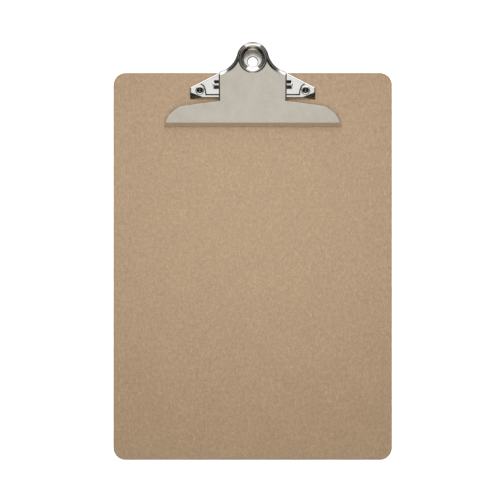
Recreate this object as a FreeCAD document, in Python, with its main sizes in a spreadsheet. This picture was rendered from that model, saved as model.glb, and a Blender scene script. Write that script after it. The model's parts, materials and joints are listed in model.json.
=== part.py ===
import FreeCAD, Part
import math
import os
import re

import Sketcher
from FreeCAD import Placement, Rotation, Vector

# A letter-size hardboard clipboard with a lever-operated steel clip.
# Frame, in millimetres: the board lies in XY with its back face on z = 0, the
# origin is the middle of that face, +Y runs towards the clip and +Z is up, out
# of the writing face.  The clip turns about a pin that lies along X.

os.makedirs("parts", exist_ok=True)
doc = FreeCAD.newDocument("clipboard")

# ---------------------------------------------------------------- driving sizes
# One named size per cell, in millimetres or degrees.  Lever sizes are measured
# in the lever's own plane from the pin axis, base sizes from the middle of the
# board's top edge, and every "half" size is from the plane of symmetry.
DRIVING_SIZES = {
    # hardboard sheet
    "board_width": 228.6,
    "board_length": 317.5,
    "board_thick": 3.2,
    "board_corner": 10.0,
    "board_edge": 0.4,
    # steel sheet that both stampings are made of
    "sheet_thick": 0.8,
    # hinge pin
    "pin_inset": 10.65,
    "pin_rise": 6.3,
    "pin_radius": 1.0,
    "pin_running_gap": 0.05,
    "pin_seat_gap": 0.02,
    "pin_head_gap": 0.05,
    "pin_head_overhang": 0.4,
    "pin_head_length": 0.4,
    # lever: plate, jaw and lip
    "lever_tilt": 12.0,
    "plate_rise": 5.9,
    "jaw_reach": 29.5,
    "jaw_half": 71.1,
    "jaw_flare": 1.9,
    "jaw_round": 20.0,
    "shoulder_half": 57.4,
    "shoulder_reach": 16.9,
    "jaw_root_reach": 12.85,
    "lip_angle": 46.7,
    "lip_bend_radius": 0.6,
    "lip_gap": 0.15,
    # lever: body, neck, head and its turned-down rim
    "body_half": 27.55,
    "head_reach": 21.4,
    "head_radius": 13.25,
    "neck_radius": 19.3,
    "neck_angle": 14.6,
    "corner_cut": 0.9,
    "rim_inner_bend": 3.0,
    "side_inner_bend": 0.3,
    "rim_depth": 4.6,
    "ear_radius": 3.0,
    "ear_run": 8.0,
    # lever: rolled bead round the finger hole
    "bead_inset": 2.95,
    "bead_roll": 1.5,
    "bead_rise": 0.9,
    "bead_throat_radius": 7.4,
    "bead_depth": 2.6,
    "bead_slope": 40.0,
    "bead_foot": 0.6,
    # base plate: hollow tray, wings and hanging tab
    "tray_inner_bend": 0.1,
    "wing_half": 51.2,
    "wing_front": 21.95,
    "wing_back": 12.35,
    "wing_root_tuck": 0.55,
    "front_break_run": 10.8,
    "front_skirt_run": 1.4,
    "front_skirt_end_run": 5.6,
    "neck_back": 2.6,
    "tab_reach": 19.3,
    "tab_radius": 11.0,
    "hang_hole_radius": 4.0,
    "hang_collar_wall": 1.0,
    "hang_edge_round": 0.6,
    # base plate: raised panel on each wing, window and pin ear
    "panel_rise": 1.0,
    "panel_edge": 0.9,
    "panel_tuck": 7.55,
    "panel_collar_gap": 0.6,
    "panel_foot_step": 0.5,
    "panel_cut_step": 1.3,
    "panel_cut_reach": 3.3,
    "panel_tip_step": 4.1,
    "panel_front_inset": 3.15,
    "panel_margin": 1.1,
    "window_tuck": 4.65,
    "ear_side_gap": 3.75,
    "ear_window_gap": 0.2,
    "window_back_run": 0.8,
    # rivets
    "rivet_half": 43.3,
    "rivet_inset": 14.85,
    "rivet_radius": 2.6,
    "rivet_hole_gap": 0.1,
    "rivet_wall": 0.35,
    "rivet_bore_depth": 0.5,
    "rivet_collar_overhang": 1.0,
    "rivet_collar_rise": 0.4,
    "rivet_head_overhang": 1.9,
    "rivet_head_thick": 0.9,
    "rivet_recess": 0.2,
    "rivet_sink_gap": 0.3,
    "boss_wall": 0.9,
    # torsion springs
    "wire_radius": 0.75,
    "coil_gap": 0.35,
    "coil_turns": 5,
    "coil_pitch": 1.7,
    "coil_half": 3.5,
    "lower_leg": 13.0,
    "upper_leg": 15.0,
    "spring_seat_gap": 0.05,
    "coil_floor_gap": 0.45,
}

# Sizes that follow from the cells above, because two pieces have to fit: the tray
# lies under the spring's coil, the windows and panels beside the lever's sides, and
# the holes round the rivets and the pin.
SHARED_SIZES = {
    "tray_rise": "(pin_rise - coil_radius - wire_radius - coil_floor_gap)",
    "rim_bend": "(rim_inner_bend + sheet_thick)",
    "side_bend": "(side_inner_bend + sheet_thick)",
    "bead_radius": "(head_radius - bead_inset)",
    "tray_bend": "(tray_inner_bend + sheet_thick)",
    "wing_root_half": "(body_half - wing_root_tuck)",
    "front_break_half": "(wing_half - front_break_run)",
    "ear_half_width": "(ear_radius + ear_window_gap)",
    "window_inner_half": "(body_half - window_tuck)",
    "window_outer_half": "(body_half + ear_side_gap)",
    "rivet_collar_radius": "(rivet_radius + rivet_collar_overhang)",
    "rivet_head_radius": "(rivet_radius + rivet_head_overhang)",
    "rivet_bore_radius": "(rivet_radius - rivet_wall)",
    "rivet_hole_radius": "(rivet_radius + rivet_hole_gap)",
    "pin_head_radius": "(pin_radius + pin_head_overhang)",
    "coil_radius": "(pin_radius + coil_gap + wire_radius)",
    "pin_y": "(board_length / 2 - pin_inset)",
    "pin_z": "(board_thick + pin_rise)",
    "tab_y": "(tab_reach - pin_inset)",
}

sheet = doc.addObject("Spreadsheet::Sheet", "Sizes")
for row, (alias, number) in enumerate(DRIVING_SIZES.items(), start=1):
    sheet.set("A%d" % row, alias)
    sheet.set("B%d" % row, str(number))
    sheet.setAlias("B%d" % row, alias)
doc.recompute()


# ------------------------------------------------------------ expression helpers
def linked(expression):
    """Write an expression in size names as one that reads the sheet's cells."""
    def cell(match):
        word = match.group(0)
        if word in SHARED_SIZES:
            return linked(SHARED_SIZES[word])
        return "Sizes." + word if word in DRIVING_SIZES else word
    return re.sub(r"[a-z_]+", cell, expression)


def value(expression):
    """The number that an expression in size names gives now."""
    return float(sheet.evalExpression(linked(expression)))


def bind(item, **expressions):
    """Bind properties of a document object to expressions in size names."""
    for name, expression in expressions.items():
        item.setExpression(name.replace("__", "."), linked(expression))


def place(item, x="0", y="0", z="0", axis=None, angle="0"):
    """Bind where a finished sub-part stands, and how far it is turned."""
    item.Placement = Placement(Vector(0, 0, 0), Rotation(axis or Vector(0, 0, 1), 1))
    bind(item, Placement__Base__x=x, Placement__Base__y=y, Placement__Base__z=z,
         Placement__Rotation__Angle=angle)


# ---------------------------------------------------------------- sketch helpers
def plane_of(body, role):
    """One of a body's own origin planes, by its role."""
    return next(item for item in body.Origin.OriginFeatures if item.Role == role)


def new_sketch(body, name, role="XY_Plane", x="0", y="0", z="0", tilt="0"):
    """A sketch on an origin plane, moved along its axes and tilted about its x."""
    sketch = body.newObject("Sketcher::SketchObject", name)
    sketch.AttachmentSupport = [(plane_of(body, role), "")]
    sketch.MapMode = "FlatFace"
    sketch.AttachmentOffset = Placement(Vector(0, 0, 0), Rotation(Vector(1, 0, 0), 1))
    bind(sketch, AttachmentOffset__Base__x=x, AttachmentOffset__Base__y=y,
         AttachmentOffset__Base__z=z, AttachmentOffset__Rotation__Angle=tilt)
    return sketch


def pin_point(sketch, geometry, end, x, y):
    """Hold one point of a sketch at a place given by two expressions."""
    for kind, expression in (("DistanceX", x), ("DistanceY", y)):
        index = sketch.addConstraint(
            Sketcher.Constraint(kind, -1, 1, geometry, end, value(expression)))
        sketch.setExpression("Constraints[%d]" % index, linked(expression))


def arc_between(start, end, radius, side):
    """The short arc from start to end; side 1 has its centre on the left."""
    chord = end.sub(start)
    half = chord.Length / 2
    normal = Vector(-chord.y, chord.x, 0).normalize()
    sagitta = math.sqrt(max(radius * radius - half * half, 0.0))
    centre = start.add(chord.multiply(0.5)).add(normal.multiply(side * sagitta))
    first, last = (start, end) if side > 0 else (end, start)
    first_angle = math.atan2(first.y - centre.y, first.x - centre.x)
    last_angle = math.atan2(last.y - centre.y, last.x - centre.x)
    if last_angle < first_angle:
        last_angle += 2 * math.pi
    circle = Part.Circle(centre, Vector(0, 0, 1), radius)
    return Part.ArcOfCircle(circle, first_angle, last_angle)


def outline(sketch, points, arcs=None):
    """A closed outline through points; arcs maps a side's number to (radius, side)."""
    arcs = arcs or {}
    corners = [Vector(value(x), value(y), 0) for x, y in points]
    ends = []
    for number, corner in enumerate(corners):
        following = corners[(number + 1) % len(corners)]
        if number in arcs:
            radius, side = arcs[number]
            curve = arc_between(corner, following, value(radius), side)
            index = sketch.addGeometry(curve, False)
            ends.append((index, 1, 2) if side > 0 else (index, 2, 1))
            held = sketch.addConstraint(Sketcher.Constraint("Radius", index, value(radius)))
            sketch.setExpression("Constraints[%d]" % held, linked(radius))
        else:
            index = sketch.addGeometry(Part.LineSegment(corner, following), False)
            ends.append((index, 1, 2))
    for number, (x, y) in enumerate(points):
        index, start, _ = ends[number]
        before, _, last = ends[number - 1]
        sketch.addConstraint(Sketcher.Constraint("Coincident", before, last, index, start))
        pin_point(sketch, index, start, x, y)


def circle(sketch, x, y, radius):
    """A full circle at a place and with a radius given by expressions."""
    centre = Vector(value(x), value(y), 0)
    index = sketch.addGeometry(Part.Circle(centre, Vector(0, 0, 1), value(radius)), False)
    held = sketch.addConstraint(Sketcher.Constraint("Radius", index, value(radius)))
    sketch.setExpression("Constraints[%d]" % held, linked(radius))
    pin_point(sketch, index, 3, x, y)


def mirrored(points):
    """The right half of an outline, bottom to top, followed by its mirror image."""
    left = [("-(%s)" % x, y) for x, y in reversed(points) if x != "0"]
    return points + left


# --------------------------------------------------------------- feature helpers
def new_body(label):
    """An empty body with the label that names the sub-part."""
    body = doc.addObject("PartDesign::Body", label)
    body.Label = label
    return body


def pad(body, name, sketch, length, reverse=False, midplane=False):
    """Add material over a sketch."""
    feature = body.newObject("PartDesign::Pad", name)
    feature.Profile = sketch
    feature.Reversed = reverse
    feature.Midplane = midplane
    bind(feature, Length=length)
    doc.recompute()
    return feature


def pocket(body, name, sketch, length=None, reverse=False, midplane=False):
    """Cut over a sketch, to a length or right through, and check that it cuts."""
    before = body.Shape.Volume
    feature = body.newObject("PartDesign::Pocket", name)
    feature.Profile = sketch
    feature.Reversed = reverse
    feature.Midplane = midplane
    if length is None:
        feature.Type = "ThroughAll"
    else:
        bind(feature, Length=length)
    doc.recompute()
    if body.Shape.Volume > before - 1e-3:
        raise RuntimeError("%s removes nothing" % name)
    return feature


def revolve(body, name, sketch, axis):
    """Add material all the way round one of a sketch's own axes."""
    feature = body.newObject("PartDesign::Revolution", name)
    feature.Profile = sketch
    feature.ReferenceAxis = (sketch, [axis])
    feature.Angle = 360
    doc.recompute()
    return feature


def edges_of(base, chosen):
    """The names of a feature's edges that a test picks out."""
    return ["Edge%d" % (number + 1) for number, edge in enumerate(base.Shape.Edges)
            if chosen(edge)]


def fillet(body, name, base, radius, chosen):
    """Round the edges of a feature that a test picks out."""
    feature = body.newObject("PartDesign::Fillet", name)
    feature.Base = (base, edges_of(base, chosen))
    bind(feature, Radius=radius)
    doc.recompute()
    return feature


def chamfer(body, name, base, size, chosen):
    """Slope the edges of a feature that a test picks out at 45 degrees."""
    feature = body.newObject("PartDesign::Chamfer", name)
    feature.Base = (base, edges_of(base, chosen))
    bind(feature, Size=size)
    doc.recompute()
    return feature


def mirror(body, name, features):
    """Repeat features on the other side of the plane of symmetry."""
    feature = body.newObject("PartDesign::Mirrored", name)
    feature.Originals = features
    feature.MirrorPlane = (plane_of(body, "YZ_Plane"), [""])
    body.Tip = feature
    doc.recompute()
    return feature


def lies_flat_at(edge, height):
    """True for an edge that lies in the plane z = height of its body."""
    box = edge.BoundBox
    return abs(box.ZMin - height) < 1e-4 and abs(box.ZMax - height) < 1e-4


# ------------------------------------------------------------- hardboard sheet
# One sheet with rounded corners, lightly broken edges, and two rivet holes that
# are counterbored from the back so that the rivet heads lie below the surface.
def make_board():
    body = new_body("board")
    half_width = "board_width / 2"
    half_length = "board_length / 2"
    flat_x = "board_width / 2 - board_corner"
    flat_y = "board_length / 2 - board_corner"
    right = [(flat_x, "-(%s)" % half_length), (half_width, "-(%s)" % flat_y),
             (half_width, flat_y), (flat_x, half_length)]
    face = new_sketch(body, "board_outline")
    outline(face, mirrored(right), {0: ("board_corner", 1), 2: ("board_corner", 1),
                                    4: ("board_corner", 1), 6: ("board_corner", 1)})
    blank = pad(body, "board_blank", face, "board_thick")
    rim_heights = (0.0, value("board_thick"))
    fillet(body, "board_edges", blank, "board_edge",
           lambda edge: any(lies_flat_at(edge, height) for height in rim_heights))
    holes = new_sketch(body, "rivet_holes")
    sinks = new_sketch(body, "rivet_sinks")
    for side in ("-rivet_half", "rivet_half"):
        inset = "board_length / 2 - rivet_inset"
        circle(holes, side, inset, "rivet_hole_radius")
        circle(sinks, side, inset, "rivet_head_radius + rivet_sink_gap")
    pocket(body, "rivet_hole_cut", holes, reverse=True)
    pocket(body, "rivet_sink_cut", sinks, "rivet_recess + rivet_head_thick", reverse=True)
    return body


# ----------------------------------------------------------------- base plate
# One steel stamping: a hollow tray that stands on the board on its skirt, with
# a wing to each side for the rivets, a raised panel and a window on each wing,
# an ear bent up from each window for the pin, and a tab past the board's top
# edge with the hanging hole.
def tray_outline(sketch):
    """The foot of the tray: both wings, the neck and the rounded tab."""
    right = [("wing_half", "-wing_front"),
             ("wing_half", "-wing_back"),
             ("wing_root_half", "0"),
             ("tab_radius", "neck_back"),
             ("tab_radius", "tab_y"),
             ("0", "tab_y + tab_radius")]
    outline(sketch, mirrored(right), {4: ("tab_radius", 1), 5: ("tab_radius", 1)})


def wing_panels(sketch):
    """The raised panel of each wing, cut back round the rivet's collar."""
    slope = "wing_back / (wing_half - wing_root_half)"
    back_edge = "(wing_half - %s) * " + slope + " - wing_back - panel_margin"
    waist = "(rivet_half - rivet_collar_radius - panel_collar_gap)"
    tip = "(%s + panel_tip_step)" % waist
    inner = "body_half - panel_tuck"
    front = "-wing_front + panel_front_inset"
    root = back_edge % "wing_root_half"
    right = [(inner, front),
             (waist + " - panel_foot_step", front),
             (waist, "-rivet_inset"),
             (waist + " + panel_cut_step", "-rivet_inset + panel_cut_reach"),
             (tip, back_edge % tip),
             ("wing_root_half", root),
             (inner, root)]
    outline(sketch, right)
    outline(sketch, [("-(%s)" % x, y) for x, y in reversed(right)])


def corner_facet(body):
    """A sketch in the plane that slopes down to each front outer corner."""
    break_point = Vector(value("front_break_half"), value("front_skirt_run - wing_front"),
                         value("tray_rise"))
    side_point = Vector(value("wing_half"), value("front_skirt_end_run - wing_front"),
                        value("tray_rise"))
    foot_point = Vector(value("wing_half"), value("-wing_front"), 0)
    normal = side_point.sub(break_point).cross(foot_point.sub(break_point))
    if normal.z < 0:
        normal = normal.multiply(-1)
    sketch = body.newObject("Sketcher::SketchObject", "corner_facet")
    sketch.AttachmentSupport = [(plane_of(body, "XY_Plane"), "")]
    sketch.MapMode = "FlatFace"
    sketch.AttachmentOffset = Placement(break_point, Rotation(Vector(0, 0, 1), normal))
    reach = "wing_half - front_break_half + wing_front / 2"
    minus = "-(%s)" % reach
    outline(sketch, [(minus, minus), (reach, minus), (reach, reach), (minus, reach)])
    return sketch


def make_base_plate():
    body = new_body("base_plate")
    foot = new_sketch(body, "tray_foot")
    tray_outline(foot)
    pad(body, "tray_blank", foot, "tray_rise")
    front = new_sketch(body, "front_slope", "YZ_Plane")
    outline(front, [("-wing_front - 1", "0"),
                    ("-wing_front", "0"),
                    ("-wing_front + front_skirt_run", "tray_rise"),
                    ("-wing_front - 1", "tray_rise")])
    pocket(body, "front_slope_cut", front, midplane=True)
    facet = pocket(body, "corner_facet_cut", corner_facet(body), reverse=True)
    facets = mirror(body, "corner_facets", [facet])
    bends = fillet(body, "tray_bends", facets, "tray_bend",
                   lambda edge: lies_flat_at(edge, value("tray_rise")))
    underside = min(range(len(bends.Shape.Faces)),
                    key=lambda number: bends.Shape.Faces[number].CenterOfMass.z)
    shell = body.newObject("PartDesign::Thickness", "tray_shell")
    shell.Base = (bends, ["Face%d" % (underside + 1)])
    shell.Reversed = True
    bind(shell, Value="sheet_thick")
    doc.recompute()

    panels = new_sketch(body, "wing_panels", z="tray_rise")
    wing_panels(panels)
    raised = pad(body, "panel_raise", panels, "panel_rise")
    chamfer(body, "panel_edges", raised, "panel_edge",
            lambda edge: lies_flat_at(edge, value("tray_rise + panel_rise")))

    collars = new_sketch(body, "collars")
    bores = new_sketch(body, "collar_bores")
    for side in ("-rivet_half", "rivet_half"):
        circle(collars, side, "-rivet_inset", "rivet_hole_radius + boss_wall")
        circle(bores, side, "-rivet_inset", "rivet_hole_radius")
    circle(collars, "0", "tab_y", "hang_hole_radius + hang_collar_wall")
    circle(bores, "0", "tab_y", "hang_hole_radius")
    pad(body, "collar_posts", collars, "tray_rise - sheet_thick / 2")
    bored = pocket(body, "collar_bore_cut", bores, reverse=True)
    fillet(body, "hang_hole_edge", bored, "hang_edge_round",
           lambda edge: lies_flat_at(edge, value("tray_rise"))
           and abs(edge.BoundBox.XLength - 2 * value("hang_hole_radius")) < 1e-3)

    windows = new_sketch(body, "pin_windows")
    near = "-pin_inset - ear_half_width"
    far = "-pin_inset + ear_half_width"
    back = far + " + window_back_run"
    right = [("window_inner_half", near), ("window_outer_half", near),
             ("window_outer_half", back), ("window_inner_half", back)]
    outline(windows, right)
    outline(windows, [("-(%s)" % x, y) for x, y in reversed(right)])
    pocket(body, "window_cut", windows, reverse=True)

    ear = new_sketch(body, "pin_ear", "YZ_Plane", z="window_outer_half")
    ear_root = "tray_rise - sheet_thick"
    outline(ear, [(near, ear_root), (far, ear_root), (far, "pin_rise"),
                  ("-pin_inset", "pin_rise + ear_half_width"), (near, "pin_rise")],
            {2: ("ear_half_width", 1), 3: ("ear_half_width", 1)})
    standing = pad(body, "ear_pad", ear, "sheet_thick")
    mirror(body, "ears", [standing])
    seats = new_sketch(body, "pin_seats", "YZ_Plane")
    circle(seats, "-pin_inset", "pin_rise", "pin_radius + pin_seat_gap")
    pocket(body, "pin_seat_cut", seats, midplane=True)
    place(body, y="board_length / 2", z="board_thick")
    return body


# ----------------------------------------------------------------------- lever
# The second stamping.  Its local plane is the plate's: local y runs up the plate
# from the pin axis to the head and local z out of it.  The head, neck and sides
# have a turned-down rim, deepest at the ears that the pin passes through; the
# wide jaw is flat and its front edge is folded down into the lip.
def rimmed_outline(sketch):
    """Body, neck and head, with the corners between side and neck cut off."""
    centre_x = "(head_radius + neck_radius) * cos(neck_angle)"
    centre_y = "head_reach + (head_radius + neck_radius) * sin(neck_angle)"

    def on_neck(x):
        return "%s - sqrt(neck_radius^2 - (%s - %s)^2)" % (centre_y, centre_x, x)

    cut_side = "(body_half - corner_cut)"
    right = [("body_half", "-jaw_root_reach"),
             ("body_half", on_neck("body_half") + " - corner_cut"),
             (cut_side, on_neck(cut_side)),
             ("head_radius * cos(neck_angle)", "head_reach + head_radius * sin(neck_angle)"),
             ("0", "head_reach + head_radius")]
    outline(sketch, mirrored(right), {2: ("neck_radius", -1), 3: ("head_radius", 1),
                                      4: ("head_radius", 1), 5: ("neck_radius", -1)})


def jaw_outline(sketch):
    """The flat jaw: straight crease, rounded ends and gently sloping shoulders."""
    right = [("jaw_half", "-jaw_reach"),
             ("shoulder_half", "-shoulder_reach"),
             ("body_half", "-jaw_root_reach"),
             ("body_half - side_bend", "-jaw_root_reach"),
             ("body_half - side_bend", "-jaw_root_reach + side_bend")]
    outline(sketch, mirrored(right), {0: ("jaw_round", 1), 8: ("jaw_round", 1)})


def bead_profile(sketch):
    """Half section of the rolled bead, in radius and height over the plate."""
    roll = "bead_roll"
    thin_roll = "(bead_roll - sheet_thick)"
    centre_y = "(bead_rise - bead_roll)"
    throat_x = "bead_throat_radius"
    back_x = "(bead_throat_radius + sheet_thick)"

    def flank_start(radius):
        return ("(bead_radius - %s * sin(bead_slope))" % radius,
                "(%s + %s * cos(bead_slope))" % (centre_y, radius))

    def flank_height(radius, x):
        start_x, start_y = flank_start(radius)
        return "%s - (%s - %s) * tan(bead_slope)" % (start_y, start_x, x)

    points = [("bead_radius + " + roll, centre_y + " - bead_foot"),
              ("bead_radius + " + roll, centre_y),
              ("bead_radius", "bead_rise"),
              flank_start(roll),
              (throat_x, flank_height(roll, throat_x)),
              (throat_x, "-bead_depth"),
              (back_x, "-bead_depth"),
              (back_x, flank_height(thin_roll, back_x)),
              flank_start(thin_roll),
              ("bead_radius", "bead_rise - sheet_thick"),
              ("bead_radius + " + thin_roll, centre_y),
              ("bead_radius + " + thin_roll, centre_y + " - bead_foot")]
    outline(sketch, points, {1: (roll, 1), 2: (roll, 1), 8: (thin_roll, -1), 9: (thin_roll, -1)})


def make_lever():
    body = new_body("lever")
    depth = "plate_rise + ear_radius + 1"
    under = "plate_rise - sheet_thick"

    plan = new_sketch(body, "body_plan", z="plate_rise")
    rimmed_outline(plan)
    blank = pad(body, "body_blank", plan, depth, reverse=True)
    front = -value("jaw_root_reach")

    def bends_down(edge):
        return lies_flat_at(edge, value("plate_rise")) and edge.BoundBox.YMax > front + 1e-3

    rim = fillet(body, "rim_bend", blank, "rim_bend",
                 lambda edge: bends_down(edge) and edge.Curve.TypeId == "Part::GeomCircle")
    bent = fillet(body, "side_bend", rim, "side_bend",
                  lambda edge: bends_down(edge) and edge.Curve.TypeId == "Part::GeomLine")
    faces = bent.Shape.Faces
    underside = min(range(len(faces)), key=lambda number: faces[number].CenterOfMass.z)
    front_side = min(range(len(faces)), key=lambda number: faces[number].CenterOfMass.y)
    shell = body.newObject("PartDesign::Thickness", "lever_shell")
    shell.Base = (bent, ["Face%d" % (underside + 1), "Face%d" % (front_side + 1)])
    shell.Reversed = True
    bind(shell, Value="sheet_thick")
    doc.recompute()

    trim = new_sketch(body, "rim_trim", "YZ_Plane")
    rim_low = "plate_rise - rim_depth"
    floor = "-ear_radius - 2"
    rear = "head_reach + head_radius + 1"
    outline(trim, [("-jaw_root_reach - 1", floor),
                   (rear, floor),
                   (rear, rim_low),
                   ("ear_run", rim_low),
                   ("ear_radius * cos(45)", "-ear_radius * sin(45)"),
                   ("0", "-ear_radius"),
                   ("-ear_radius * cos(45)", "-ear_radius * sin(45)"),
                   ("-jaw_root_reach - 1", under)],
            {4: ("ear_radius", -1), 5: ("ear_radius", -1)})
    pocket(body, "rim_trim_cut", trim, midplane=True)

    bores = new_sketch(body, "pin_bores", "YZ_Plane")
    circle(bores, "0", "0", "pin_radius + pin_running_gap")
    pocket(body, "pin_bore_cut", bores, midplane=True)

    jaw = new_sketch(body, "jaw_plan", z="plate_rise")
    jaw_outline(jaw)
    pad(body, "jaw_plate", jaw, "sheet_thick", reverse=True)
    add_lip(body)
    add_bead(body)
    place(body, y="pin_y", z="pin_z",
          axis=Vector(1, 0, 0), angle="lever_tilt")
    return body


def add_lip(body):
    """Fold the jaw's front edge down until its tip just clears the board."""
    outer = "(lip_bend_radius + sheet_thick)"
    centre_z = "(plate_rise - %s)" % outer
    fold_y = "(-jaw_reach - %s * sin(lip_angle))" % outer
    fold_z = "(%s + %s * cos(lip_angle))" % (centre_z, outer)
    fold = new_sketch(body, "lip_fold", "YZ_Plane")
    outline(fold, [("-jaw_reach", "plate_rise"),
                   (fold_y, fold_z),
                   ("-jaw_reach - lip_bend_radius * sin(lip_angle)",
                    centre_z + " + lip_bend_radius * cos(lip_angle)"),
                   ("-jaw_reach", "plate_rise - sheet_thick")],
            {0: (outer, 1), 2: ("lip_bend_radius", -1)})
    pad(body, "lip_bend", fold, "2 * jaw_half", midplane=True)

    steepness = "(lip_angle + lever_tilt)"
    fold_rise = "(pin_rise + %s * sin(lever_tilt) + %s * cos(lever_tilt))" % (fold_y, fold_z)
    tip_rise = "(sheet_thick * cos(%s) + lip_gap)" % steepness
    length = "(%s - %s) / sin(%s)" % (fold_rise, tip_rise, steepness)
    blade = new_sketch(body, "lip_blade", y=fold_y, z=fold_z, tilt="lip_angle")
    outline(blade, [("-jaw_half - jaw_flare", "-(%s)" % length),
                    ("jaw_half + jaw_flare", "-(%s)" % length),
                    ("jaw_half", "0"),
                    ("-jaw_half", "0")])
    pad(body, "lip", blade, "sheet_thick", reverse=True)


def add_bead(body):
    """Open the finger hole and roll its edge up into a bead and down a throat."""
    opening = new_sketch(body, "bead_opening", z="plate_rise")
    circle(opening, "0", "head_reach", "bead_radius + bead_roll - sheet_thick / 2")
    pocket(body, "bead_opening_cut", opening, "2 * sheet_thick")
    section = new_sketch(body, "bead_section", "YZ_Plane", x="head_reach", y="plate_rise")
    bead_profile(section)
    revolve(body, "bead", section, "V_Axis")


# ------------------------------------------------------------------- hinge pin
# A plain steel pin, held in the base plate's ears by a head on each end.  The
# lever's ears turn on it between them.
def make_hinge_pin():
    body = new_body("hinge_pin")
    under_head = "(window_outer_half + sheet_thick + pin_head_gap)"
    end = "(%s + pin_head_length)" % under_head
    profile = new_sketch(body, "pin_profile")
    outline(profile, [("-" + end, "0"), (end, "0"), (end, "pin_radius"),
                      (under_head + " + pin_head_length * 0.4", "pin_head_radius"),
                      (under_head, "pin_head_radius"), (under_head, "pin_radius"),
                      ("-" + under_head, "pin_radius"), ("-" + under_head, "pin_head_radius"),
                      ("-" + under_head + " - pin_head_length * 0.4", "pin_head_radius"),
                      ("-" + end, "pin_radius")])
    revolve(body, "pin_turned", profile, "H_Axis")
    place(body, y="pin_y", z="pin_z")
    return body


# ---------------------------------------------------------------------- rivets
# Two semi-tubular rivets.  Each flat head is sunk into the board's back, and its
# hollow end, round at the bottom, is rolled over the wing into a low collar.
def make_rivet(label, x):
    body = new_body(label)
    wing_top = "(board_thick + tray_rise)"
    head_top = "(rivet_recess + rivet_head_thick)"
    wall_middle = "((rivet_bore_radius + rivet_collar_radius) / 2)"
    half_collar = "((rivet_collar_radius - rivet_bore_radius) / 2)"
    collar_round = "((%s^2 + rivet_collar_rise^2) / (2 * rivet_collar_rise))" % half_collar
    profile = new_sketch(body, label + "_profile", "XZ_Plane")
    outline(profile, [("0", "rivet_recess"),
                      ("rivet_head_radius - rivet_head_thick / 3", "rivet_recess"),
                      ("rivet_head_radius", "rivet_recess + rivet_head_thick / 3"),
                      ("rivet_head_radius", head_top),
                      ("rivet_radius", head_top),
                      ("rivet_radius", wing_top),
                      ("rivet_collar_radius", wing_top),
                      (wall_middle, wing_top + " + rivet_collar_rise"),
                      ("rivet_bore_radius", wing_top),
                      ("rivet_bore_radius", wing_top + " - rivet_bore_depth"),
                      ("0", wing_top + " - rivet_bore_depth - rivet_bore_radius")],
            {6: (collar_round, 1), 7: (collar_round, 1), 9: ("rivet_bore_radius", -1)})
    revolve(body, label + "_turned", profile, "V_Axis")
    place(body, x=x, y="board_length / 2 - rivet_inset")
    return body


# ------------------------------------------------------------- torsion springs
# Two coils round the pin, one each side of the middle and mirror images.  The
# lower leg of each lies on the base plate and the upper one lifts the lever's
# head, which presses the lip onto the board.
def leg_slope(coil_radius, reach, distance):
    """Slope, in degrees, of a leg whose tip ends at a distance from the pin's plane."""
    span = math.hypot(coil_radius, reach)
    return math.degrees(math.asin(distance / span) - math.atan2(coil_radius, reach))


def make_spring(label):
    """One coil with its legs in line with its ends, in a frame whose +x is down."""
    radius = value("coil_radius")
    pitch = value("coil_pitch")
    foreshortening = math.cos(math.atan2(pitch, 2 * math.pi * radius))
    lower_slope = leg_slope(radius, value("lower_leg") * foreshortening,
                            value("pin_rise - tray_rise - wire_radius - spring_seat_gap"))
    upper_slope = value("lever_tilt") + leg_slope(
        radius, value("upper_leg") * foreshortening,
        value("plate_rise - sheet_thick - wire_radius - spring_seat_gap"))
    turns = value("coil_turns") + (180 - lower_slope - upper_slope) / 360
    coil = Part.makeHelix(pitch, pitch * turns, radius, 0, True)
    coil.rotate(Vector(0, 0, 0), Vector(0, 0, 1), -lower_slope)
    turn_edge = coil.Edges[0]
    lower_start = turn_edge.valueAt(turn_edge.FirstParameter)
    upper_start = turn_edge.valueAt(turn_edge.LastParameter)
    lower_along = turn_edge.tangentAt(turn_edge.FirstParameter).negative()
    upper_along = turn_edge.tangentAt(turn_edge.LastParameter)
    lower_tip = lower_start + lower_along * value("lower_leg")
    upper_tip = upper_start + upper_along * value("upper_leg")
    path = Part.Wire([Part.makeLine(lower_tip, lower_start), turn_edge,
                      Part.makeLine(upper_start, upper_tip)])
    section = Part.Wire(Part.makeCircle(value("wire_radius"), lower_tip, lower_along))
    spring = doc.addObject("Part::Feature", label)
    spring.Label = label
    spring.Shape = path.makePipeShell([section], True, False)
    along_pin = Rotation(Vector(0, 0, -1), Vector(0, 1, 0), Vector(1, 0, 0), "XYZ")
    spring.Placement = Placement(Vector(0, 0, 0), along_pin)
    bind(spring, Placement__Base__x="coil_half", Placement__Base__y="pin_y",
         Placement__Base__z="pin_z")
    return spring


board = make_board()
base_plate = make_base_plate()
lever = make_lever()
hinge_pin = make_hinge_pin()
rivets = [make_rivet("rivet_left", "-rivet_half"), make_rivet("rivet_right", "rivet_half")]
spring_right = make_spring("spring_right")
spring_left = doc.addObject("Part::Mirroring", "spring_left")
spring_left.Label = "spring_left"
spring_left.Source = spring_right
spring_left.Normal = Vector(1, 0, 0)
doc.recompute()

# ---------------------------------------------------------------- check, export
sub_parts = [board, base_plate, lever, hinge_pin] + rivets + [spring_left, spring_right]
for item in doc.Objects:
    if "Invalid" in item.State or "Error" in item.State:
        raise RuntimeError("%s: %s" % (item.Label, item.State))
for item in sub_parts:
    if item.Shape.isNull() or not item.Shape.isValid():
        raise RuntimeError("%s has no valid shape" % item.Label)
    box = item.Shape.BoundBox
    print("%-12s %9.2f mm3, %d solid(s), z %.2f to %.2f" % (
        item.Label, item.Shape.Volume, len(item.Shape.Solids), box.ZMin, box.ZMax))
    item.Shape.exportStep("parts/%s.step" % item.Label)
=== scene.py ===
import json
from math import atan2, cos, pi, radians, sin

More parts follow.
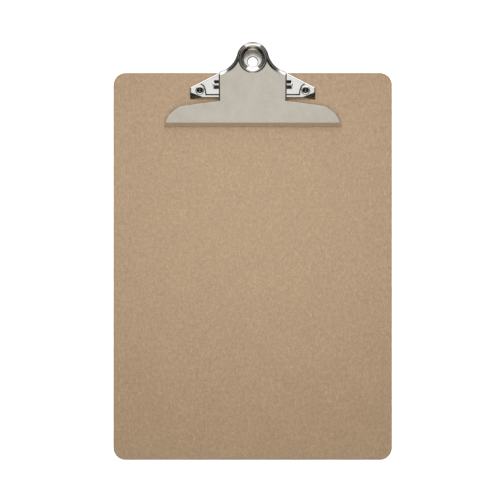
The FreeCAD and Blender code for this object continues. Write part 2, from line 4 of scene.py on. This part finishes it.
import bpy
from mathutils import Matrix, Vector


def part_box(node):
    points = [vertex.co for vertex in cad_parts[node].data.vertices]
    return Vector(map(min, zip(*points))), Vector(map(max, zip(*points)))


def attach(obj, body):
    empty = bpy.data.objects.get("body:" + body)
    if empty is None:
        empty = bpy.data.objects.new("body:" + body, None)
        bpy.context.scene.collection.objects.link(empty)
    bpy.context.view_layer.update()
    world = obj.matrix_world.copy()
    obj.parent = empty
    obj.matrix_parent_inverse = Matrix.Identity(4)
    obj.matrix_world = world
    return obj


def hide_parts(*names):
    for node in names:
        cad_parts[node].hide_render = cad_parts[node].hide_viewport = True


# A letter-size hardboard clipboard with a lever-operated steel clip.
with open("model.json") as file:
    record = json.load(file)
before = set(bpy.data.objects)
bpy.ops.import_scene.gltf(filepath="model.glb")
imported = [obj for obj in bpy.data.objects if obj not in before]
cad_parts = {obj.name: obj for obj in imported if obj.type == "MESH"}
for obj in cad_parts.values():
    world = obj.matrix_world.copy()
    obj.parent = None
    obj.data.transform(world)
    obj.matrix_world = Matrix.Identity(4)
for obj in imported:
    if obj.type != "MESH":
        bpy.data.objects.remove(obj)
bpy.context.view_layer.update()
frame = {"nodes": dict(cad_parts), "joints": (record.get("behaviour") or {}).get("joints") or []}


# ------------------------------------------------------------- hardboard sheet
# One sheet of tempered hardboard: pressed wood fibre, smooth and oiled on the
# writing face, with sawn edges and the fine screen pattern of the press on the
# back.  It is cut to size, its corners are rounded and its edges lightly broken.
def add(tree, kind, **settings):
    """A shader node with its properties, or its inputs by name, set."""
    node = tree.nodes.new(kind)
    for name, value in settings.items():
        label = name.replace("_", " ").title()
        if label in node.inputs:
            node.inputs[label].default_value = value
        else:
            setattr(node, name, value)
    return node


def new_finish(name):
    """A material, its node tree, its surface shader and the piece's own millimetres."""
    finish = bpy.data.materials.new(name)
    finish.use_nodes = True
    tree = finish.node_tree
    tree.nodes.clear()
    output = tree.nodes.new("ShaderNodeOutputMaterial")
    surface = tree.nodes.new("ShaderNodeBsdfPrincipled")
    tree.links.new(surface.outputs["BSDF"], output.inputs["Surface"])
    place = tree.nodes.new("ShaderNodeTexCoord")
    scaled = tree.nodes.new("ShaderNodeVectorMath")
    scaled.operation = "SCALE"
    scaled.inputs["Scale"].default_value = 1000.0
    tree.links.new(place.outputs["Object"], scaled.inputs[0])
    return finish, tree, surface, scaled.outputs[0]


def stretched(tree, millimetres, across, along, upright, turn=0.0):
    """The millimetres turned about Z and scaled, so that a grain runs one way."""
    mapping = add(tree, "ShaderNodeMapping")
    mapping.inputs["Rotation"].default_value = (0.0, 0.0, radians(turn))
    mapping.inputs["Scale"].default_value = (across, along, upright)
    tree.links.new(millimetres, mapping.inputs["Vector"])
    return mapping.outputs["Vector"]


def noise(tree, where, size, detail=2.0, roughness=0.5):
    """Cloudy noise, from 0 to 1, whose blotches are about a size across."""
    node = add(tree, "ShaderNodeTexNoise", scale=1.0 / size, detail=detail, roughness=roughness)
    tree.links.new(where, node.inputs["Vector"])
    return node.outputs["Fac"]


def ranged(tree, value, low, high, to_low=0.0, to_high=1.0):
    """A value carried from one range to another and held inside it."""
    node = add(tree, "ShaderNodeMapRange", from_min=low, from_max=high,
               to_min=to_low, to_max=to_high)
    tree.links.new(value, node.inputs["Value"])
    return node.outputs["Result"]


def reckon(tree, operation, first, second):
    """Arithmetic on two values, either of which may be a plain number."""
    node = add(tree, "ShaderNodeMath", operation=operation)
    for socket, value in zip(node.inputs, (first, second)):
        if isinstance(value, (int, float)):
            socket.default_value = value
        else:
            tree.links.new(value, socket)
    return node.outputs["Value"]


def tinted(tree, amount, colour_a, colour_b):
    """A colour between two others, each a colour or another node's output."""
    node = add(tree, "ShaderNodeMix", data_type="RGBA")
    tree.links.new(amount, node.inputs["Factor"])
    sockets = {socket.identifier: socket for socket in (*node.inputs, *node.outputs)}
    for label, colour in (("A_Color", colour_a), ("B_Color", colour_b)):
        if isinstance(colour, tuple):
            sockets[label].default_value = (*colour, 1.0)
        else:
            tree.links.new(colour, sockets[label])
    return sockets["Result_Color"]


def roughened(tree, surface, height, distance):
    """Bump on a surface, from a height of 0 to 1 that stands for a distance in metres."""
    bump = add(tree, "ShaderNodeBump", distance=distance, strength=1.0)
    tree.links.new(height, bump.inputs["Height"])
    tree.links.new(bump.outputs["Normal"], surface.inputs["Normal"])
    return bump


def dress(node, finish):
    """Give a CAD node's object one finish all over."""
    for slot in frame["nodes"][node].material_slots:
        slot.material = finish


hardboard, tree, surface, mm = new_finish("tempered hardboard")
fibre_brown = (0.310, 0.219, 0.136)
pale_fibre = (0.362, 0.260, 0.167)
dark_fibre = (0.206, 0.140, 0.083)
sawn_brown = (0.175, 0.105, 0.055)
speck_brown = (0.10, 0.055, 0.03)
painted_shade_black = (0.014, 0.011, 0.008)

clouds = noise(tree, mm, 26.0, detail=4.0, roughness=0.62)
mottle = noise(tree, mm, 3.4, detail=3.0, roughness=0.7)
fine = noise(tree, mm, 0.7, detail=2.0)
strands_a = noise(tree, stretched(tree, mm, 1.0, 0.22, 1.0, 24), 0.9, detail=2.0)
strands_b = noise(tree, stretched(tree, mm, 1.0, 0.2, 1.0, -58), 0.8, detail=2.0)
strands = reckon(tree, "MAXIMUM", strands_a, strands_b)
tone = reckon(tree, "ADD", reckon(tree, "MULTIPLY", clouds, 0.12),
              reckon(tree, "ADD", reckon(tree, "MULTIPLY", mottle, 0.38),
                     reckon(tree, "MULTIPLY", fine, 0.50)))
face = tinted(tree, ranged(tree, tone, 0.36, 0.64), dark_fibre, fibre_brown)
face = tinted(tree, ranged(tree, tone, 0.38, 0.66, 0.55, 1.0), dark_fibre, face)
face = tinted(tree, ranged(tree, strands, 0.58, 0.78, 0.0, 0.55), face, pale_fibre)

speck_spacing = 2.6
specks = add(tree, "ShaderNodeTexVoronoi", scale=1.0 / speck_spacing)
tree.links.new(mm, specks.inputs["Vector"])
near_speck = ranged(tree, specks.outputs["Distance"], 0.05, 0.12, 1.0, 0.0)
chosen = add(tree, "ShaderNodeSeparateColor")
tree.links.new(specks.outputs["Color"], chosen.inputs["Color"])
rare = ranged(tree, chosen.outputs["Red"], 0.80, 0.86)
face = tinted(tree, reckon(tree, "MULTIPLY", reckon(tree, "MULTIPLY", near_speck, rare), 0.6),
              face, speck_brown)

# The sawn edges, told from the faces by which way the surface points.
facing = add(tree, "ShaderNodeTexCoord")
upward = add(tree, "ShaderNodeSeparateXYZ")
tree.links.new(facing.outputs["Normal"], upward.inputs["Vector"])
on_side = ranged(tree, reckon(tree, "ABSOLUTE", upward.outputs["Z"], 0.0), 0.93, 0.35)
sawn = tinted(tree, noise(tree, stretched(tree, mm, 1.0, 1.0, 4.0), 0.9, detail=4.0),
              sawn_brown, fibre_brown)

# Painted shade on the face under the plate, where the tray's windows look down onto the board,
# placed in millimetres.
place = add(tree, "ShaderNodeSeparateXYZ")
tree.links.new(mm, place.inputs["Vector"])
side_edge, top_edge = (1000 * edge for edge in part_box("board")[1][:2])
painted_shade_inset = 11.0
painted_shade_half_width = (33.0, 35.5)
painted_shade_half_height = (5.0, 7.0)
from_middle = reckon(tree, "ABSOLUTE", place.outputs["X"], 0.0)
beside = ranged(tree, from_middle, *painted_shade_half_width, 1.0, 0.0)
from_row = reckon(tree, "ABSOLUTE", reckon(tree, "SUBTRACT", place.outputs["Y"],
                                           top_edge - painted_shade_inset), 0.0)
below = ranged(tree, from_row, *painted_shade_half_height, 1.0, 0.0)
on_face = ranged(tree, upward.outputs["Z"], 0.3, 0.6)
painted_shade_under_plate = reckon(tree, "MULTIPLY", reckon(tree, "MULTIPLY", beside, below),
                 reckon(tree, "MULTIPLY", on_face, ranged(tree, fine, 0.3, 0.7, 0.88, 0.98)))

# The last millimetre round the outline is darkened by handling.
corner_radius = 10.0
handled_band = (8.6, 9.8)
clear_of_z = 1000.0
past_corner = add(tree, "ShaderNodeVectorMath", operation="ABSOLUTE")
tree.links.new(mm, past_corner.inputs[0])
outside = add(tree, "ShaderNodeVectorMath", operation="SUBTRACT")
outside.inputs[1].default_value = (side_edge - corner_radius, top_edge - corner_radius,
                                   clear_of_z)
tree.links.new(past_corner.outputs[0], outside.inputs[0])
clipped = add(tree, "ShaderNodeVectorMath", operation="MAXIMUM")
tree.links.new(outside.outputs[0], clipped.inputs[0])
from_corner = add(tree, "ShaderNodeVectorMath", operation="LENGTH")
tree.links.new(clipped.outputs[0], from_corner.inputs[0])
handled = ranged(tree, from_corner.outputs["Value"], *handled_band, 0.0, 0.30)
face = tinted(tree, handled, face, sawn_brown)
# The painted shade under the plate is laid over both the face and the sawn edges.
face = tinted(tree, painted_shade_under_plate, tinted(tree, on_side, face, sawn), painted_shade_black)
tree.links.new(face, surface.inputs["Base Color"])

polish = ranged(tree, reckon(tree, "ADD", reckon(tree, "MULTIPLY", clouds, 0.5),
                             reckon(tree, "MULTIPLY", fine, 0.5)), 0.3, 0.7, 0.42, 0.58)
tree.links.new(reckon(tree, "MAXIMUM", polish, reckon(tree, "MULTIPLY", on_side, 0.85)),
               surface.inputs["Roughness"])

# Grain on the face, and the press screen's squares on the back.
screen_pitch = 1.5
relief = 0.00008
ribs = [reckon(tree, "SINE", reckon(tree, "MULTIPLY", place.outputs[axis],
                                    2 * pi / screen_pitch), 0.0)
        for axis in ("X", "Y")]
screen = ranged(tree, reckon(tree, "MULTIPLY", ribs[0], ribs[1]), -1.0, 1.0)
on_back = ranged(tree, upward.outputs["Z"], -0.5, -0.9)
grain = reckon(tree, "ADD", reckon(tree, "MULTIPLY", fine, 0.5),
               reckon(tree, "MULTIPLY", strands, 0.5))
height = reckon(tree, "ADD", reckon(tree, "MULTIPLY", grain, 0.3),
                reckon(tree, "MULTIPLY", screen, on_back))
roughened(tree, surface, height, relief)
dress("board", hardboard)


# ------------------------------------------------------------------ base plate
# Pressed from one sheet of steel and nickel plated: a hollow tray with two wings,
# a window and an ear for the pin on each, and the hanging tab.  The rivets hold
# it down on the board.
scuff_relief = 0.000002
tumbled_edge = 0.0003


def plated_steel(name, colour, shaded, gloss, scuff):
    """Bright plated steel: faint stains, hairline scuffs, fine grain and tumbled edges."""
    finish, tree, surface, mm = new_finish(name)
    surface.inputs["Metallic"].default_value = 1.0
    stains = noise(tree, mm, 9.0, detail=3.0, roughness=0.6)
    tree.links.new(tinted(tree, ranged(tree, stains, 0.35, 0.7), colour, shaded),
                   surface.inputs["Base Color"])
    hairs = reckon(tree, "MAXIMUM",
                   noise(tree, stretched(tree, mm, 1.0, 0.03, 1.0, 34), 0.16),
                   noise(tree, stretched(tree, mm, 1.0, 0.035, 1.0, -71), 0.18))
    hairs = ranged(tree, hairs, 0.62, 0.74)
    grain = noise(tree, mm, 0.35, detail=2.0)
    worn = reckon(tree, "ADD", ranged(tree, grain, 0.3, 0.7, gloss, gloss * 1.25),
                  reckon(tree, "ADD", reckon(tree, "MULTIPLY", hairs, 0.06),
                         ranged(tree, stains, 0.4, 0.7, 0.0, 0.05)))
    tree.links.new(worn, surface.inputs["Roughness"])
    height = reckon(tree, "ADD", reckon(tree, "MULTIPLY", grain, 0.5),
                    reckon(tree, "MULTIPLY", hairs, scuff))
    bump = roughened(tree, surface, height, scuff_relief)
    rounded = add(tree, "ShaderNodeBevel", samples=6, radius=tumbled_edge)
    tree.links.new(rounded.outputs["Normal"], bump.inputs["Normal"])
    return finish


dress("base_plate", plated_steel("nickel plate", (0.74, 0.73, 0.71), (0.70, 0.69, 0.67),
                                 gloss=0.13, scuff=-0.5))


# ---------------------------------------------------------------------- rivets
# Two semi-tubular steel rivets, plated like the clip.  The flat head lies in a
# sinking in the board's back, and the hollow end is rolled over the wing.
rivet_steel = plated_steel("rivet plate", (0.76, 0.75, 0.73), (0.70, 0.69, 0.66),
                           gloss=0.09, scuff=-0.3)
for node in ("rivet_left", "rivet_right"):
    dress(node, rivet_steel)

# The bore is darkened wherever ambient occlusion finds it deep: painted shade in the hollow end.
bore_painted_shade = (0.05, 0.045, 0.04)
bore_depth = 0.004
tree = rivet_steel.node_tree
surface = tree.nodes["Principled BSDF"]
bore_occlusion = add(tree, "ShaderNodeAmbientOcclusion", samples=8, distance=bore_depth)
hollow = ranged(tree, bore_occlusion.outputs["AO"], 0.35, 0.80, 0.9, 0.0)
plating = surface.inputs["Base Color"].links[0].from_socket
tree.links.new(tinted(tree, hollow, plating, bore_painted_shade), surface.inputs["Base Color"])


# ----------------------------------------------------------------------- lever
# The second pressing: flat plate, wide jaw with its folded lip, turned-down rim
# and a rolled bead round the finger hole, plated after it is pressed.
dress("lever", plated_steel("lever plate", (0.735, 0.715, 0.675), (0.715, 0.695, 0.655),
                            gloss=0.12, scuff=-0.5))


# ------------------------------------------------------------------- hinge pin
# Drawn steel wire with a head upset on each end, left bright.  It goes through the
# ears of both pressings and the two springs.
dress("hinge_pin", plated_steel("bright wire", (0.70, 0.69, 0.67), (0.60, 0.59, 0.57),
                                gloss=0.22, scuff=0.0))


# --------------------------------------------------------------------- springs
# Two torsion springs of hard-drawn wire, coiled round the pin between the tray
# and the lever.  The coil and its lower leg stay with the tray; the upper leg
# follows the lever, so it and the last part of its turn are a piece of their own.
hinge = next(joint for joint in frame["joints"] if joint["name"] == "lever_hinge")
pin_point = Vector(hinge["pos_m"])
wire_radius = 0.00075
coil_radius = 0.0021
coil_pitch = 0.0017
coil_start = 0.0035
lower_leg = 0.0130
upper_leg = 0.0150
lower_slope = 1.78
upper_slope = 20.60
whole_turns = 5
whole_sweep = whole_turns * 360 + 180 - lower_slope - upper_slope
shared_sweep = 50.0
inner_wire = 0.985
end_round = 0.0002
drift = coil_pitch / (2 * pi * coil_radius)


def around_coil(turned):
    """Where the wire's middle is after a turn round the pin, and which way it runs."""
    angle = radians(lower_slope + turned)
    middle = Vector((coil_pitch * turned / 360, -coil_radius * sin(angle),
                     -coil_radius * cos(angle)))
    return middle, Vector((drift, -cos(angle), sin(angle))).normalized()


def select_section(piece, turned):
    """Select the ring of the wire that lies at a turn round the pin."""
    middle, along = around_coil(turned)
    along.x = 0.0
    along.normalize()
    for part in (piece.data.polygons, piece.data.edges, piece.data.vertices):
        for item in part:
            item.select = False
    for vertex in piece.data.vertices:
        offset = vertex.co - middle
        vertex.select = abs(offset.dot(along)) < 1e-5 and offset.length < 1.1 * wire_radius
    bpy.ops.object.mode_set(mode="EDIT")
    bpy.ops.mesh.select_mode(type="VERT")


def wound_wire(name, first_turn, sweep, width, leg_turn, leg_vector):
    """A length of coil with a straight leg drawn out of one end, as one closed tube."""
    middle, _ = around_coil(first_turn)
    bpy.ops.object.select_all(action="DESELECT")
    bpy.ops.mesh.primitive_circle_add(
        vertices=20, radius=wire_radius * width, location=middle,
        rotation=(radians(90 - lower_slope - first_turn), 0.0, 0.0))
    wire = bpy.context.object
    wire.name = name
    bpy.ops.object.transform_apply(location=True, rotation=True, scale=True)
    coil = wire.modifiers.new("coil", "SCREW")
    coil.axis = "X"
    coil.angle = -radians(sweep)
    coil.screw_offset = coil_pitch * sweep / 360
    coil.steps = coil.render_steps = round(sweep / 10)
    bpy.ops.object.modifier_apply(modifier="coil")
    for turned in (first_turn, first_turn + sweep):
        select_section(wire, turned)
        bpy.ops.mesh.edge_face_add()
        if turned == leg_turn:
            bpy.ops.mesh.extrude_region_move(TRANSFORM_OT_translate={"value": leg_vector})
            bpy.ops.mesh.region_to_loop()
            bpy.ops.mesh.bevel(offset=end_round, segments=3, affect="EDGES")
        bpy.ops.object.mode_set(mode="OBJECT")
    bpy.ops.object.mode_set(mode="EDIT")
    bpy.ops.mesh.select_all(action="SELECT")
    bpy.ops.mesh.remove_doubles(threshold=1e-7)
    bpy.ops.mesh.normals_make_consistent(inside=False)
    bpy.ops.object.mode_set(mode="OBJECT")
    bpy.ops.object.shade_smooth_by_angle(angle=radians(40))
    wire.location = pin_point + Vector((coil_start, 0.0, 0.0))
    bpy.ops.object.transform_apply(location=True, rotation=True, scale=True)
    return wire


def other_hand(piece, name):
    """The mirror-image copy of a piece, with a mesh of its own."""
    bpy.ops.object.select_all(action="DESELECT")
    copy = piece.copy()
    copy.data = piece.data.copy()
    copy.name = name
    bpy.context.collection.objects.link(copy)
    bpy.context.view_layer.objects.active = copy
    copy.select_set(True)
    copy.scale.x = -1.0
    bpy.ops.object.transform_apply(location=True, rotation=True, scale=True)
    bpy.ops.object.mode_set(mode="EDIT")
    bpy.ops.mesh.select_all(action="SELECT")
    bpy.ops.mesh.normals_make_consistent(inside=False)
    bpy.ops.object.mode_set(mode="OBJECT")
    return copy


lower_way = -around_coil(0.0)[1]
upper_way = around_coil(whole_sweep)[1]
coil_right = wound_wire("spring_coil_right", 0.0, whole_sweep, 1.0, 0.0, lower_way * lower_leg)
leg_right = wound_wire("spring_leg_right", whole_sweep - shared_sweep, shared_sweep,
                       inner_wire, whole_sweep, upper_way * upper_leg)
coil_left = other_hand(coil_right, "spring_coil_left")
leg_left = other_hand(leg_right, "spring_leg_left")

spring_wire = plated_steel("spring wire", (0.56, 0.55, 0.53), (0.44, 0.43, 0.41),
                           gloss=0.26, scuff=0.2)
for piece, node, body in ((coil_right, "spring_right", "base"), (leg_right, "spring_right", "jaw"),
                          (coil_left, "spring_left", "base"), (leg_left, "spring_left", "jaw")):
    piece.data.materials.clear()
    piece.data.materials.append(spring_wire)
    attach(piece, body)
    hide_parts(node)


# --------------------------------------------------- table, light and camera
# A white table top under soft overhead light, seen from straight above.  Long
# soft boxes beyond the top and the foot of the board, and dark flags to the
# sides, give the plating its streaks.
table_size = 8.0
table_gap = 0.0002
table_glow = 0.45
bpy.ops.object.select_all(action="DESELECT")
bpy.ops.mesh.primitive_plane_add(size=table_size, location=(0.0, 0.0, -table_gap))
table = bpy.context.object
table.name = "table_top"
paper_white, tree, surface, mm = new_finish("white table")
tree.links.new(tinted(tree, noise(tree, mm, 60.0), (0.90, 0.90, 0.90), (0.93, 0.93, 0.93)),
               surface.inputs["Base Color"])
surface.inputs["Roughness"].default_value = 0.8
surface.inputs["Specular IOR Level"].default_value = 0.2
surface.inputs["Emission Color"].default_value = (1.0, 1.0, 1.0, 1.0)
surface.inputs["Emission Strength"].default_value = table_glow
table.data.materials.append(paper_white)
table.visible_glossy = False

world = bpy.data.worlds.new("studio")
bpy.context.scene.world = world
world.use_nodes = True
tree = world.node_tree
tree.nodes.clear()
towards = add(tree, "ShaderNodeSeparateXYZ")
tree.links.new(tree.nodes.new("ShaderNodeTexCoord").outputs["Generated"], towards.inputs["Vector"])

# Brightness from the board's foot (0) over the zenith (0.5) to beyond the clip (1).
boxes = add(tree, "ShaderNodeValToRGB")
tree.links.new(ranged(tree, towards.outputs["Y"], -1.0, 1.0), boxes.inputs["Fac"])
ramp = boxes.color_ramp
ramp.elements[0].position = 0.0
ramp.elements[0].color = (0.40, 0.39, 0.38, 1.0)
ramp.elements[1].position = 1.0
ramp.elements[1].color = (0.30, 0.30, 0.30, 1.0)
for position, colour in ((0.07, (0.40, 0.39, 0.38)), (0.12, (0.20, 0.19, 0.18)),
                         (0.24, (0.44, 0.42, 0.385)), (0.33, (0.385, 0.367, 0.337)),
                         (0.40, (0.37, 0.356, 0.325)), (0.50, (0.42, 0.41, 0.395)),
                         (0.57, (0.54, 0.54, 0.54)), (0.66, (0.56, 0.56, 0.56)),
                         (0.78, (1.0, 1.0, 1.0)), (0.93, (1.0, 1.0, 1.0))):
    ramp.elements.new(position).color = (*colour, 1.0)

# Black flags to the sides, which draw back beyond the clip's end, with the dim walls
# of the room behind them, less light near the horizon, and the table's own light below.
flag_draw_back = 0.45
flag_edges = (0.10, 0.24)
flag_black = 0.012
horizon_light = 0.40
wall_light = 0.11
table_light = 0.55
aside = reckon(tree, "SUBTRACT", reckon(tree, "ABSOLUTE", towards.outputs["X"], 0.0),
               reckon(tree, "MULTIPLY", reckon(tree, "MAXIMUM", towards.outputs["Y"], 0.0),
                      flag_draw_back))
flag = ranged(tree, aside, *flag_edges, 1.0, flag_black)
low = ranged(tree, towards.outputs["Z"], 0.0, 0.12, horizon_light, 1.0)
walls = reckon(tree, "MULTIPLY",
               ranged(tree, towards.outputs["Z"], 0.08, 0.16, 0.0, wall_light),
               ranged(tree, towards.outputs["Z"], 0.52, 0.68, 1.0, 0.0))
bounce = ranged(tree, towards.outputs["Z"], -0.30, -0.60, 0.0, table_light)
studio_strength = 2.0
backdrop_white = 0.93
shade = add(tree, "ShaderNodeBackground")
tree.links.new(boxes.outputs["Color"], shade.inputs["Color"])
above = reckon(tree, "MAXIMUM", reckon(tree, "MULTIPLY", flag, low), walls)
overall = reckon(tree, "MAXIMUM", above, bounce)
tree.links.new(reckon(tree, "MULTIPLY", overall, studio_strength), shade.inputs["Strength"])
backdrop = add(tree, "ShaderNodeBackground", color=(*[backdrop_white] * 3, 1.0))
choice = add(tree, "ShaderNodeMixShader")
tree.links.new(tree.nodes.new("ShaderNodeLightPath").outputs["Is Camera Ray"],
               choice.inputs["Fac"])
tree.links.new(shade.outputs[0], choice.inputs[1])
tree.links.new(backdrop.outputs[0], choice.inputs[2])
tree.links.new(choice.outputs[0], tree.nodes.new("ShaderNodeOutputWorld").inputs["Surface"])

# Two soft lamps, each given by its height, distance beyond the middle, width and power.
lamp_aim = 0.05
for name, height, beyond, width, power in (("overhead", 0.47, 0.08, 0.36, 3.35),
                                           ("key", 1.20, 0.90, 0.9, 2.0)):
    bpy.ops.object.light_add(type="AREA", location=(0.0, beyond, height),
                             rotation=(-atan2(beyond - lamp_aim, height), 0.0, 0.0))
    lamp = bpy.context.object
    lamp.name = name
    lamp.data.shape = "SQUARE"
    lamp.data.size = width
    lamp.data.energy = power
    lamp.visible_glossy = False
    lamp.visible_camera = False

board_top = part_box("board")[1][2]
camera_rise = 0.900
camera_middle = (-0.0022, 0.01335)
lens_length = 78.95
bpy.ops.object.camera_add(location=(*camera_middle, board_top + camera_rise),
                          rotation=(0.0, 0.0, 0.0))
camera = bpy.context.object
camera.data.sensor_width = 36.0
camera.data.lens = lens_length
camera.data.clip_start = 0.01
bpy.context.scene.camera = camera
bpy.context.scene.view_settings.view_transform = "Standard"
